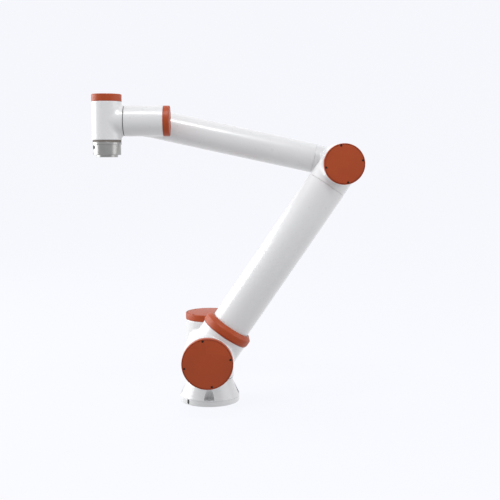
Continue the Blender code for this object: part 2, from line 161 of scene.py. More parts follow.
def noise(tree, scale, detail=3.0, stretch=(1, 1, 1)):
    """Noise in the piece's own coordinates, with `scale` in waves per metre."""
    place = node(tree, "ShaderNodeTexCoord")
    mapping = node(tree, "ShaderNodeMapping")
    mapping.inputs["Scale"].default_value = stretch
    made = node(tree, "ShaderNodeTexNoise")
    made.inputs["Scale"].default_value = scale
    made.inputs["Detail"].default_value = detail
    tree.links.new(place.outputs["Object"], mapping.inputs["Vector"])
    tree.links.new(mapping.outputs["Vector"], made.inputs["Vector"])
    return made.outputs["Fac"]


def rings(tree, scale, distortion=0.0):
    """Turning marks: circles round the piece's own Z axis, `scale` in waves per metre."""
    place = node(tree, "ShaderNodeTexCoord")
    wave = node(tree, "ShaderNodeTexWave", wave_type="RINGS", rings_direction="Z")
    wave.inputs["Scale"].default_value = scale
    wave.inputs["Distortion"].default_value = distortion
    tree.links.new(place.outputs["Object"], wave.inputs["Vector"])
    return wave.outputs["Fac"]


def ramp(tree, factor, low, high, start=0.3, end=0.7):
    """A value or a colour that goes from low to high as the factor goes from start to end."""
    made = node(tree, "ShaderNodeMapRange")
    if isinstance(low, tuple):
        made.data_type = "FLOAT_VECTOR"
        made.inputs[7].default_value = (start,) * 3
        made.inputs[8].default_value = (end,) * 3
        made.inputs[9].default_value = low
        made.inputs[10].default_value = high
        tree.links.new(factor, made.inputs[6])
        return made.outputs["Vector"]
    made.inputs["From Min"].default_value = start
    made.inputs["From Max"].default_value = end
    made.inputs["To Min"].default_value = low
    made.inputs["To Max"].default_value = high
    tree.links.new(factor, made.inputs["Value"])
    return made.outputs["Result"]


def bumps(tree, shader, *layers):
    """Bump layers on one shader, each a (height, strength, distance in metres)."""
    previous = None
    for height, strength, distance in layers:
        bump = node(tree, "ShaderNodeBump")
        bump.inputs["Strength"].default_value = strength
        bump.inputs["Distance"].default_value = distance
        tree.links.new(height, bump.inputs["Height"])
        if previous:
            tree.links.new(previous, bump.inputs["Normal"])
        previous = bump.outputs["Normal"]
    tree.links.new(previous, shader.inputs["Normal"])


def material(name, metallic=0.0, coat=0.0, coat_roughness=0.1, specular=0.5):
    mat = bpy.data.materials.new(name)
    mat.use_nodes = True
    shader = mat.node_tree.nodes["Principled BSDF"]
    shader.inputs["Metallic"].default_value = metallic
    shader.inputs["Coat Weight"].default_value = coat
    shader.inputs["Coat Roughness"].default_value = coat_roughness
    shader.inputs["Specular IOR Level"].default_value = specular
    return mat, mat.node_tree, shader


def painted_white():
    """Gloss paint on a casting: faint orange peel, slight cloudiness in tone and gloss."""
    mat, tree, shader = material("white_paint", coat=0.45, coat_roughness=0.07)
    cloud = noise(tree, 9, detail=4)
    tree.links.new(ramp(tree, cloud, (0.680, 0.680, 0.688), (0.696, 0.696, 0.704)),
                   shader.inputs["Base Color"])
    tree.links.new(ramp(tree, noise(tree, 60, detail=5), 0.27, 0.31), shader.inputs["Roughness"])
    bumps(tree, shader, (noise(tree, 420, detail=1), 0.012, 0.0004),
          (noise(tree, 3000, detail=2), 0.03, 0.00004))
    return mat


def moulded_orange():
    """Satin moulded plastic with a fine spark-eroded grain."""
    mat, tree, shader = material("orange_plastic", coat=0.05, coat_roughness=0.35, specular=0.3)
    tree.links.new(ramp(tree, noise(tree, 14, detail=4), (0.348, 0.051, 0.0095),
                        (0.388, 0.058, 0.0115)), shader.inputs["Base Color"])
    tree.links.new(ramp(tree, noise(tree, 900, detail=2), 0.38, 0.50), shader.inputs["Roughness"])
    bumps(tree, shader, (noise(tree, 1700, detail=2), 0.22, 0.00008),
          (noise(tree, 40, detail=2), 0.05, 0.0006))
    return mat


def turned_grey():
    """Grey anodised aluminium with turning marks."""
    mat, tree, shader = material("grey_anodised", metallic=0.85)
    tree.links.new(ramp(tree, noise(tree, 25, detail=5), (0.33, 0.33, 0.325),
                        (0.42, 0.42, 0.41)), shader.inputs["Base Color"])
    tree.links.new(ramp(tree, noise(tree, 500, detail=3, stretch=(1, 1, 8)), 0.26, 0.40),
                   shader.inputs["Roughness"])
    bumps(tree, shader, (noise(tree, 260, detail=2, stretch=(0.2, 0.2, 14)), 0.10, 0.00006))
    return mat


def machined_steel():
    mat, tree, shader = material("machined_steel", metallic=1.0)
    tree.links.new(ramp(tree, noise(tree, 40, detail=5), (0.44, 0.44, 0.43), (0.56, 0.56, 0.55)),
                   shader.inputs["Base Color"])
    tree.links.new(ramp(tree, noise(tree, 300, detail=4), 0.22, 0.40), shader.inputs["Roughness"])
    bumps(tree, shader, (rings(tree, 900, distortion=0.6), 0.08, 0.00004))
    return mat


def black_oxide():
    """Blackened screw steel, a little worn."""
    mat, tree, shader = material("black_oxide_steel", metallic=0.7)
    tree.links.new(ramp(tree, noise(tree, 700, detail=4), (0.018, 0.017, 0.016),
                        (0.045, 0.043, 0.040)), shader.inputs["Base Color"])
    tree.links.new(ramp(tree, noise(tree, 1500, detail=3), 0.32, 0.55), shader.inputs["Roughness"])
    bumps(tree, shader, (noise(tree, 2500, detail=3), 0.10, 0.00004))
    return mat


def seal_rubber():
    mat, tree, shader = material("seal_rubber", specular=0.3)
    tree.links.new(ramp(tree, noise(tree, 120, detail=4), (0.016, 0.016, 0.017),
                        (0.034, 0.033, 0.033)), shader.inputs["Base Color"])
    tree.links.new(ramp(tree, noise(tree, 900, detail=3), 0.55, 0.78), shader.inputs["Roughness"])
    bumps(tree, shader, (noise(tree, 1600, detail=3), 0.15, 0.00006))
    return mat


def seal_and_groove_shade():
    """Dark grey-brown seal ring; its darkness is partly painted shade of the groove it fills."""
    mat, tree, shader = material("seal_and_groove_shade", specular=0.25)
    # Dark grey-brown: a seal's colour, darkened as painted shade of the groove that the ring fills.
    tree.links.new(ramp(tree, noise(tree, 400, detail=4), (0.190, 0.170, 0.155),
                        (0.250, 0.226, 0.206)), shader.inputs["Base Color"])
    tree.links.new(ramp(tree, noise(tree, 1200, detail=3), 0.6, 0.85), shader.inputs["Roughness"])
    bumps(tree, shader, (noise(tree, 2200, detail=3), 0.3, 0.0001))
    return mat


def black_plastic():
    mat, tree, shader = material("black_plastic", specular=0.45)
    tree.links.new(ramp(tree, noise(tree, 90, detail=4), (0.018, 0.018, 0.020),
                        (0.030, 0.030, 0.032)), shader.inputs["Base Color"])
    tree.links.new(ramp(tree, noise(tree, 1300, detail=3), 0.40, 0.60), shader.inputs["Roughness"])
    bumps(tree, shader, (noise(tree, 2200, detail=2), 0.20, 0.00005))
    return mat


def copper_winding():
    """Enamelled copper, with the lay of the wire as fine bands."""
    mat, tree, shader = material("copper_winding", metallic=0.8, coat=0.3, coat_roughness=0.2)
    tree.links.new(ramp(tree, noise(tree, 300, detail=4), (0.46, 0.19, 0.08),
                        (0.62, 0.28, 0.12)), shader.inputs["Base Color"])
    tree.links.new(ramp(tree, noise(tree, 800, detail=3), 0.30, 0.50), shader.inputs["Roughness"])
    bumps(tree, shader, (rings(tree, 400, distortion=1.5), 0.35, 0.0003))
    return mat


def circuit_board():
    """Solder mask over traces: square cells of slightly different green."""
    mat, tree, shader = material("circuit_board", coat=0.3, coat_roughness=0.3)
    place = node(tree, "ShaderNodeTexCoord")
    cells = node(tree, "ShaderNodeTexVoronoi", distance="CHEBYCHEV")
    cells.inputs["Scale"].default_value = 260
    tree.links.new(place.outputs["Object"], cells.inputs["Vector"])
    tree.links.new(ramp(tree, cells.outputs["Distance"], (0.012, 0.10, 0.035),
                        (0.03, 0.20, 0.07), 0.1, 0.6), shader.inputs["Base Color"])
    tree.links.new(ramp(tree, noise(tree, 500, detail=3), 0.45, 0.65), shader.inputs["Roughness"])
    bumps(tree, shader, (cells.outputs["Distance"], 0.3, 0.0002))
    return mat


def gold_contact():
    mat, tree, shader = material("gold_contact", metallic=1.0)
    tree.links.new(ramp(tree, noise(tree, 800, detail=3), (0.72, 0.50, 0.20),
                        (0.85, 0.62, 0.28)), shader.inputs["Base Color"])
    tree.links.new(ramp(tree, noise(tree, 2000, detail=3), 0.20, 0.35), shader.inputs["Roughness"])
    bumps(tree, shader, (noise(tree, 3000, detail=2), 0.05, 0.00003))
    return mat


def pale_stage():
    """Pale floor that mostly glows by itself, so that it stays even, with a soft shadow on it."""
    mat, tree, shader = material("pale_stage", specular=0.0)
    shader.inputs["Base Color"].default_value = (0.05, 0.05, 0.052, 1)
    shader.inputs["Roughness"].default_value = 0.9
    shader.inputs["Emission Color"].default_value = (0.922, 0.930, 0.973, 1)
    shader.inputs["Emission Strength"].default_value = 0.965
    return mat


WHITE, ORANGE, GREY = painted_white(), moulded_orange(), turned_grey()
STEEL, OXIDE, RUBBER = machined_steel(), black_oxide(), seal_rubber()
PLASTIC, COPPER, BOARD = black_plastic(), copper_winding(), circuit_board()
GOLD, SEAL_AND_GROOVE_SHADE, STAGE = gold_contact(), seal_and_groove_shade(), pale_stage()

CAD_FINISH = {
    "white_shell": WHITE, "orange_lid": ORANGE, "grey_metal": GREY, "steel": STEEL,
    "copper": COPPER, "dark_plastic": PLASTIC, "board_green": BOARD,
}


# ---------------------------------------------------------------- mesh helpers


def round_shape(_angle):
    return 1.0


def hexagon(angle):
    """Distance to the side of a hexagon, as a share of the distance to its corner."""
    return math.cos(math.pi / 6) / math.cos(angle % (math.pi / 3) - math.pi / 6)


def ring(radius, height, around, shape=round_shape):
    points = []
    for k in range(around):
        angle = 2 * math.pi * k / around
        reach = radius * shape(angle)
        points.append(Vector((reach * math.cos(angle), reach * math.sin(angle), height)))
    return points


def sheet(bm, rows, closed=True):
    """Faces between rows of points. A row of one point closes the sheet at a pole."""
    made = [[bm.verts.new(point) for point in row] for row in rows]
    count = max(len(row) for row in made)
    for row, following in zip(made, made[1:]):
        if len(row) == len(following) == 1:
            continue
        for k in range(count if closed else count - 1):
            corners = [row[k % len(row)], row[(k + 1) % len(row)],
                       following[(k + 1) % len(following)], following[k % len(following)]]
            bm.faces.new(list(dict.fromkeys(corners)))


def finished(bm, name):
    """The mesh of a closed bmesh, shaded smooth but for its sharp edges."""
    bmesh.ops.remove_doubles(bm, verts=bm.verts, dist=1e-6)
    bmesh.ops.recalc_face_normals(bm, faces=bm.faces)
    mesh = bpy.data.meshes.new(name)
    bm.to_mesh(mesh)
    bm.free()
    mesh.shade_smooth()
    mesh.set_sharp_from_angle(angle=SHARP_ANGLE)
    return mesh


def eased(outline, steps=4):
    """Outline of (radius, height, easing[, shape]) points with each corner eased by a curve."""
    softened = []
    count = len(outline)
    for k, (radius, height, easing, *shape) in enumerate(outline):
        here = Vector((radius, height))
        if not easing:
            softened.append((radius, height, *shape))
            continue
        ends = []
        for other in (outline[k - 1], outline[(k + 1) % count]):
            away = Vector(other[:2]) - here
            ends.append(here + away.normalized() * min(easing, away.length / 2))
        for step in range(steps + 1):
            t = step / steps
            point = (1 - t) ** 2 * ends[0] + 2 * t * (1 - t) * here + t ** 2 * ends[1]
            softened.append((point.x, point.y, *shape))
    return softened


def quarter_round(steps=3):
    """Points of a rim's quarter circle, each as (run, rise) with the run going from full to 0."""
    angles = [math.pi / 2 * k / steps for k in range(steps + 1)]
    return [(EDGE * math.cos(angle), EDGE * math.sin(angle)) for angle in angles]


def lathe(bm, outline, around=AROUND, closed=True, place=Matrix()):
    rows = []
    for radius, height, *shape in outline:
        points = ring(radius, height, around, *shape) if radius else [Vector((0, 0, height))]
        rows.append([place @ point for point in points])
    sheet(bm, rows + rows[:1] if closed else rows)


def turned(name, outline, around=AROUND):
    """Closed turned mesh from a closed outline of (radius, height, easing) points."""
    bm = bmesh.new()
    lathe(bm, eased(outline), around)
    return finished(bm, name)


def piece(name, mesh, mat, matrix, body, stands_for=()):
    """A named piece on its body. Its place goes into its mesh, as it does on the CAD nodes."""
    mesh.transform(matrix)
    mesh.materials.append(mat)
    obj = bpy.data.objects.new(name, mesh)
    bpy.context.scene.collection.objects.link(obj)
    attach(obj, body)
    if stands_for:
        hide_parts(*stands_for)
    return obj


def cut(target, mesh, matrix):
    """Cut `mesh`, placed by its world matrix, from the target's mesh."""
    cutter = bpy.data.objects.new("cutter", mesh)
    bpy.context.scene.collection.objects.link(cutter)
    cutter.matrix_world = matrix
    step = target.modifiers.new("cut", "BOOLEAN")
    step.solver = "EXACT"
    step.operation = "DIFFERENCE"
    step.object = cutter
    bpy.context.view_layer.update()
    evaluated = target.evaluated_get(bpy.context.evaluated_depsgraph_get())
    shaped = bpy.data.meshes.new_from_object(evaluated)
    target.modifiers.clear()
    shaped.name = target.data.name
    target.data = shaped
    bpy.data.objects.remove(cutter)
    shaped.shade_smooth()
    shaped.set_sharp_from_angle(angle=SHARP_ANGLE)


def turn(x, z):
    """Rotation whose +X and +Z point along these directions."""
    x, z = x.normalized(), z.normalized()
    return Matrix((x, z.cross(x), z)).transposed().to_4x4()


def local_points(name, matrix):
    back = matrix.inverted()
    return [back @ vertex.co for vertex in frame["nodes"][name].data.vertices]


def at_angle(angle, radius, height=0.0):
    return Matrix.Translation((radius * math.cos(angle), radius * math.sin(angle), height))


# ---------------------------------------------------------------- castings


class Casting:
    """A barrel with a side port, measured from its CAD node in the barrel's own frame."""

    def __init__(self, name, origin, lid_way, port_way, wall, spigot_radius, opening=None):
        self.name, self.wall, self.spigot_radius = name, wall, spigot_radius
        self.spigot = SPIGOT if spigot_radius else 0.0
        self.body = BODY_OF[name]
        self.matrix = Matrix.Translation(origin) @ turn(port_way, lid_way)
        points = local_points(name, self.matrix)
        near = 0.0001
        self.front = max(p.z for p in points)
        self.back = -min(p.z for p in points)
        self.radius = max(math.hypot(p.x, p.y) for p in points if p.z > self.front - near)
        self.port_length = max(p.x for p in points) - self.spigot
        self.port_radius = max(
            math.hypot(p.y, p.z) for p in points if abs(p.x - self.port_length) < near)
        self.opening = opening or BACK_OPENING * self.radius

    def blended(self, point):
        """The point moved onto the barrel and port blended by a fillet that fades at the rims."""
        for _ in range(6):
            x, y, z = point
            across, along = math.hypot(x, y), math.hypot(y, z)
            barrel, port = across - self.radius, along - self.port_radius
            barrel_way = Vector((x / across, y / across, 0))
            port_way = Vector((0, y / along, z / along))
            rim = self.front - z if z > 0 else self.back + z
            half = math.acos(max(-1.0, min(1.0, barrel_way.dot(port_way)))) / 2
            fillet = min(FILLET / (FILLET_SPREAD + math.sin(half) ** 2), 0.85 * rim)
            reach = max(4 * fillet * (1 / math.cos(half) - 1), 1e-7)
            share = max(0.0, min(1.0, 0.5 + 0.5 * (port - barrel) / reach))
            gap = port + (barrel - port) * share - reach * share * (1 - share)
            way = (barrel_way * share + port_way * (1 - share)).normalized()
            point = point - gap * way
        return point

    def outer_rows(self):
        """Closed rows of points from the port's end, over the fillet, to a box round the hole."""
        low, high = -self.back + EDGE, self.front - EDGE
        quarter = math.pi / 2
        border = (
            [(quarter, low + (high - low) * k / SIDE_ROWS) for k in range(SIDE_ROWS)]
            + [(quarter - math.pi * k / HALF_TURN, high) for k in range(HALF_TURN)]
            + [(-quarter, high - (high - low) * k / SIDE_ROWS) for k in range(SIDE_ROWS)]
            + [(-quarter + math.pi * k / HALF_TURN, low) for k in range(HALF_TURN)])
        clocks = [math.atan2(z, self.radius * math.sin(angle)) for angle, z in border]
        port_steps, barrel_steps, crowd = 16, 14, 1.7
        rows = []
        for step in range(port_steps, 0, -1):
            share = (step / port_steps) ** crowd
            row = []
            for clock in clocks:
                y, z = self.port_radius * math.cos(clock), self.port_radius * math.sin(clock)
                crease = math.sqrt(self.radius ** 2 - y * y)
                x = crease + (self.port_length - EDGE - crease) * share
                point = Vector((x, y, z))
                row.append(point if step == port_steps else self.blended(point))
            rows.append(row)
        for step in range(barrel_steps + 1):
            share = (step / barrel_steps) ** crowd
            row = []
            for clock, (angle, height) in zip(clocks, border):
                hole = math.asin(self.port_radius * math.cos(clock) / self.radius)
                a = hole + (angle - hole) * share
                z = self.port_radius * math.sin(clock)
                z += (height - z) * share
                point = Vector((self.radius * math.cos(a), self.radius * math.sin(a), z))
                row.append(point if step == barrel_steps else self.blended(point))
            rows.append(row)
        return rows, clocks

    def port_end_rows(self, clocks):
        """Eased rim and the blind or stepped end of the port, from inside to outside."""
        length, radius = self.port_length, self.port_radius
        if self.spigot:
            step = self.spigot_radius
            ends = [(0, length + self.spigot - 0.002), (step - 0.004, length + self.spigot - 0.002),
                    (step - 0.004, length + self.spigot), (step, length + self.spigot),
                    (step, length)]
        else:
            floor = length - 0.5 * (length - self.radius)
            ends = [(0, floor), (0.62 * radius, floor), (0.62 * radius, length)]
        ends += [(radius - EDGE + rise, length - EDGE + run) for run, rise in quarter_round()]
        rows = []
        for reach, x in ends:
            if not reach:
                rows.append([Vector((x, 0, 0))])
                continue
            rows.append([Vector((x, reach * math.cos(c), reach * math.sin(c))) for c in clocks])
        return rows

    def lining_rows(self):
        """Rings from the front rim through the bore to the rim at the back."""
        bore, floor = self.radius - self.wall, -self.back + self.wall
        outline = []
        outline += [(self.radius - EDGE + run, self.front - EDGE + rise)
                    for run, rise in quarter_round()]
        outline += [(bore + 0.0006, self.front), (bore, self.front - 0.0006), (bore, floor),
                    (self.opening, floor), (self.opening, -self.back)]
        outline += [(self.radius - EDGE + rise, -self.back + EDGE - run)
                    for run, rise in quarter_round()]
        return [ring(radius, height, 2 * HALF_TURN) for radius, height in outline]

    def mesh(self):
        bm = bmesh.new()
        rows, clocks = self.outer_rows()
        sheet(bm, self.port_end_rows(clocks)[:-1] + rows)
        low, high = -self.back + EDGE, self.front - EDGE
        back_half = []
        for k in range(SIDE_ROWS + 1):
            z = low + (high - low) * k / SIDE_ROWS
            back_half.append([
                Vector((self.radius * math.cos(a), self.radius * math.sin(a), z))
                for a in (math.pi / 2 + math.pi * j / HALF_TURN for j in range(HALF_TURN + 1))])
        sheet(bm, back_half, closed=False)
        sheet(bm, self.lining_rows())
        return finished(bm, self.name)

    def build(self):
        return piece(f"{self.name}_casting", self.mesh(), WHITE, self.matrix, self.body,
                     [self.name])


def port_way_of(name):
    """Each module's port points at its neighbour."""
    here = AXIS_AT[name]
    neighbour = {"base": SHOULDER, "shoulder": ELBOW, "elbow": SHOULDER,
                 "wrist_1": Vector((ELBOW.x, here.y, ELBOW.z)), "wrist_2": AXIS_AT["wrist_1"],
                 "wrist_3": AXIS_AT["wrist_2"]}[name]
    return neighbour - here


def lid_way_of(name):
    low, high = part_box(f"{name}_cap")
    return (low + high) / 2 - AXIS_AT[name]


def seat_angles(name, casting):
    """Angles of the four lid screws in the module's own frame."""
    z = casting.matrix.to_3x3().col[2]
    x = RIGHT if abs(z.x) < 0.5 else BACKWARD
    start = BASE_SEAT_TURN if name == "base" else SEAT_TURN
    level = casting.matrix.to_3x3().inverted() @ turn(x, z).to_3x3()
    lead = level @ RIGHT
    offset = math.atan2(lead.y, lead.x)
    return [offset + start + k * math.pi / 2 for k in range(4)]


def add_screws(name, places, head_radius, head_height, matrix, body):
    """Socket head screws, one mesh, each with its head's top at its place."""
    bm = bmesh.new()
    key = KEY_SHARE * head_radius
    outline = eased([
        (0, -head_height, 0), (head_radius, -head_height, 0), (head_radius, 0, 0.0004)]) + [
        (key * 1.12, 0, round_shape), (key, -0.0003, hexagon),
        (key, -0.6 * head_height, hexagon), (0, -0.75 * head_height)]
    for place in places:
        lathe(bm, outline, 24, place=place)
    return piece(name, finished(bm, name), OXIDE, matrix, body)


def seat_outline(top, depth):
    """Cutter for a countersunk screw seat in a face at this height."""
    return [(0, top - depth), (SEAT_RADIUS, top - depth), (SEAT_RADIUS, top - 0.0004),
            (SEAT_RADIUS + COUNTERSINK, top + PROUD), (0, top + PROUD)]


def build_lid(name, casting):
    top = max(p.z for p in local_points(f"{name}_cap", casting.matrix))
    radius, seat = casting.radius, casting.front + GAP
    plug, skin = radius - casting.wall - GAP, 0.003
    lid = piece(f"{name}_lid", turned(f"{name}_lid", [
        (0, top, 0), (radius - LID_GROOVE, top, 0.0002),
        (radius - LID_GROOVE + 0.0002, top - LID_GROOVE_DEPTH, 0),
        (radius - LID_GROOVE + LID_GROOVE_WIDTH - 0.0002, top - LID_GROOVE_DEPTH, 0),
        (radius - LID_GROOVE + LID_GROOVE_WIDTH, top, 0.0002),
        (radius - LID_EDGE, top, 0.0006), (radius, top - LID_EDGE, 0.0008),
        (radius, seat, 0.0006), (plug, seat, 0), (plug, seat - 0.004, 0.0005),
        (plug - skin, seat - 0.004, 0.0005), (plug - skin, top - 2 * skin, 0.002),
        (0, top - 2 * skin, 0)]), ORANGE, casting.matrix, casting.body,
        [f"{name}_cap"])
    bm = bmesh.new()
    places = [at_angle(angle, SEAT_CIRCLE * radius) for angle in seat_angles(name, casting)]
    for place in places:
        lathe(bm, seat_outline(top, SEAT_DEPTH), AROUND_SMALL, place=place)
    cut(lid, finished(bm, "seats"), casting.matrix)
    heads = [place @ Matrix.Translation((0, 0, top - HEAD_SUNK)) for place in places]
    add_screws(f"{name}_lid_screws", heads, HEAD_RADIUS, SEAT_DEPTH - 0.0014, casting.matrix,
               casting.body)


def build_seal(name, casting):
    """Rubber lip seal in the turning gap behind the barrel; on the tool end, a ring down into the groove whose
    dark grey-brown is partly painted groove shade.
    """
    low, high = -casting.back - SEAM + GAP, -casting.back - GAP
    outer = casting.radius - 0.0013
    mat = RUBBER
    # On the tool end the ring fills the flange's groove, and its dark grey-brown paints the groove's shade as well
    # as a seal.
    if name == "wrist_3":
        low -= TOOL_GROOVE_DEPTH
        outer, mat = casting.radius - 0.0022, SEAL_AND_GROOVE_SHADE
    inner = casting.opening + 0.0006
    piece(f"{name}_seal", turned(f"{name}_seal", [
        (inner, low, 0), (outer, low, 0.0003), (outer, high, 0.0003), (inner, high, 0)]),
        mat, casting.matrix, casting.body)


# ---------------------------------------------------------------- foot


def flare_radius(share):
    return FOOT_TOP_RADIUS + (FOOT_RIM_RADIUS - FOOT_TOP_RADIUS) * (1 - share) ** FOOT_FLARE_POWER


def build_foot():
    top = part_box("base_foot")[1].z
    flare_steps = 18
    flare = []
    for k in range(1, flare_steps):
        share = k / flare_steps
        flare.append((flare_radius(share), FOOT_RIM_HEIGHT + share * (top - FOOT_RIM_HEIGHT), 0))
    inside = FOOT_TOP_RADIUS - 0.018
    foot = piece("foot_casting", turned("foot_casting", [
        (0, 0.001, 0), (0.060, 0.001, 0), (0.061, 0, 0), (FOOT_RIM_RADIUS, 0, 0.0022),
        (FOOT_RIM_RADIUS, FOOT_GROOVE_HEIGHT - 0.0008, 0.0003),
        (FOOT_RIM_RADIUS - 0.0009, FOOT_GROOVE_HEIGHT - 0.0004, 0.0002),
        (FOOT_RIM_RADIUS - 0.0009, FOOT_GROOVE_HEIGHT + 0.0004, 0.0002),
        (FOOT_RIM_RADIUS, FOOT_GROOVE_HEIGHT + 0.0008, 0.0003),
        (FOOT_RIM_RADIUS, FOOT_RIM_HEIGHT, 0.002)] + flare + [
        (FOOT_TOP_RADIUS, top, 0.0010), (FOOT_BORE, top, 0.0008), (FOOT_BORE, top - 0.009, 0),
        (inside, top - 0.018, 0.003), (inside, 0.008, 0.003), (0, 0.008, 0)], 2 * AROUND),
        WHITE, Matrix(), "base", ["base_foot"])
    bm = bmesh.new()
    for k in range(4):
        place = at_angle(k * math.pi / 2, BOLT_CIRCLE_RADIUS)
        lathe(bm, eased([
            (0, -0.001, 0), (BOLT_HOLE_RADIUS, -0.001, 0),
            (BOLT_HOLE_RADIUS, FOOT_RIM_HEIGHT - 0.0006, 0),
            (BOLT_HOLE_RADIUS + 0.0006, FOOT_RIM_HEIGHT, 0),
            (POCKET_FLOOR_RADIUS, FOOT_RIM_HEIGHT, 0.0020),
            (POCKET_ROOF_RADIUS, FOOT_RIM_HEIGHT + POCKET_HEIGHT, 0.004),
            (0, FOOT_RIM_HEIGHT + POCKET_HEIGHT, 0)]), AROUND_MEDIUM, place=place)
    cut(foot, finished(bm, "pockets"), Matrix())
    facing = Matrix.Rotation(math.pi / 2, 4, "Y")
    socket = Matrix.Rotation(SOCKET_ANGLE, 4, "Z") @ Matrix.Translation(
        (0, 0, SOCKET_HEIGHT)) @ facing
    bm = bmesh.new()
    lathe(bm, [(0, 0.045), (0.0163, 0.045), (0.0163, 0.110), (0, 0.110)], AROUND_MEDIUM)
    cut(foot, finished(bm, "socket_hole"), socket)
    build_socket(socket)
    build_plug(foot, Matrix.Rotation(PLUG_ANGLE, 4, "Z") @ Matrix.Translation(
        (0, 0, FOOT_RIM_HEIGHT / 2)) @ facing @ Matrix.Rotation(math.pi / 2, 4, "Z"))


def knurl(angle):
    return 1.0 + 0.018 * math.sin(48 * angle)


def build_socket(matrix):
    """Bulkhead socket: stepped ring, round insert and contacts."""
    piece("controller_socket", turned("controller_socket", [
        (0, 0.055, 0), (0.0160, 0.055, 0), (0.0160, 0.0775, 0.0006), (0.0150, 0.0790, 0.0003),
        (0.0150, 0.0800, 0.0003), (0.0157, 0.0806, 0.0003), (0.0157, 0.0882, 0.0006),
        (0.0135, 0.0890, 0.0006), (0.0130, 0.0880, 0.0004), (0.0130, 0.0772, 0), (0, 0.0772, 0)],
        AROUND_FINE), PLASTIC, matrix, "base", ["base_connector"])
    bm = bmesh.new()
    lathe(bm, eased([(0, 0.0775, 0), (0.0122, 0.0775, 0), (0.0122, 0.0835, 0.0008),
                     (0, 0.0835, 0)]), AROUND_MEDIUM)
    piece("controller_socket_insert", finished(bm, "insert"), RUBBER, matrix, "base")
    bm = bmesh.new()
    for count, circle in ((1, 0.0), (5, 0.0042), (10, 0.0088)):
        for k in range(count):
            place = at_angle(2 * math.pi * k / count, circle)
            lathe(bm, eased([(0, 0.0840 - 0.002, 0), (0.0008, 0.0820, 0), (0.0008, 0.0872, 0.0005),
                             (0, 0.0875, 0)]), 16, place=place)
    piece("controller_socket_contacts", finished(bm, "contacts"), GOLD, matrix, "base")


def obround(bm, radius, straight, low, high, around=24):
    rows = []
    for z, inset in ((low, 0), (high - 0.0008, 0), (high, 0.0008)):
        points = []
        for side, start in ((1, 0), (-1, math.pi)):
            for k in range(around + 1):
                angle = start + math.pi * k / around
                points.append(Vector(((radius - inset) * math.cos(angle),
                                      side * straight / 2 + (radius - inset) * math.sin(angle), z)))
        rows.append(points)
    sheet(bm, [[Vector((0, 0, low))]] + rows + [[Vector((0, 0, high))]])


def build_plug(foot, matrix):
    bm = bmesh.new()
    obround(bm, 0.0048, 0.005, FOOT_RIM_RADIUS - 0.007, FOOT_RIM_RADIUS + 0.002)
    cut(foot, finished(bm, "plug_hole"), matrix)
    bm = bmesh.new()
    obround(bm, 0.0045, 0.005, FOOT_RIM_RADIUS - 0.0067, FOOT_RIM_RADIUS - 0.0008)
    piece("foot_plug", finished(bm, "foot_plug"), PLASTIC, matrix, "base",
          ["base_plug"])


# ---------------------------------------------------------------- links


def build_tube(name, origin, way, wall):
    matrix = Matrix.Translation(origin) @ turn(BACKWARD, way)
    points = local_points(name, matrix)
    low, high = min(p.z for p in points), max(p.z for p in points)
    outer = max(math.hypot(p.x, p.y) for p in points)
    piece(f"{name}_skin", turned(f"{name}_skin", [
        (outer - wall, low, 0), (outer, low, 0.0006), (outer, high, 0.0006),
        (outer - wall, high, 0)], AROUND_FINE), WHITE, matrix, BODY_OF[name], [name])
    return matrix, low, outer


def build_collar(matrix, start, tube_radius):
    points = local_points("upper_arm_collar", matrix)
    end = max(p.z for p in points)
    widest = max(math.hypot(p.x, p.y) for p in points)
    sleeve = tube_radius + GAP
    piece("collar_ring", turned("collar_ring", [
        (sleeve, start, 0.0003), (COLLAR_START_RADIUS, start, 0.0006),
        (widest, start + COLLAR_START_CHAMFER, 0.0012), (widest, end - COLLAR_END_CHAMFER, 0.003),
        (COLLAR_END_RADIUS, end, 0.0012), (sleeve, end, 0.0003)], AROUND_FINE), ORANGE, matrix,
        "upper_arm", ["upper_arm_collar"])


def build_back_cover(casting):
    points = local_points("elbow_back_cover", casting.matrix)
    top, radius = max(p.z for p in points), casting.radius
    seat, plug = casting.front + GAP, casting.radius - casting.wall - GAP
    cover = piece("elbow_back_lid", turned("elbow_back_lid", [
        (0, top, 0), (radius - 0.002, top, 0.001), (radius, top - 0.002, 0.001),
        (radius, seat, 0.0006), (plug, seat, 0), (plug, seat - 0.004, 0.0005),
        (0, seat - 0.004, 0)]), WHITE, casting.matrix, casting.body,
        ["elbow_back_cover"])
    places = [at_angle(math.pi / 4 + k * math.pi / 2, 0.84 * radius) for k in range(4)]
    bm = bmesh.new()
    for place in places:
        lathe(bm, seat_outline(top, COVER_SEAT_DEPTH), AROUND_SMALL, place=place)
    cut(cover, finished(bm, "seats"), casting.matrix)
    heads = [place @ Matrix.Translation((0, 0, top - 0.0010)) for place in places]
    add_screws("elbow_back_lid_screws", heads, HEAD_RADIUS, 0.0022, casting.matrix, casting.body)


# ---------------------------------------------------------------- tool flange


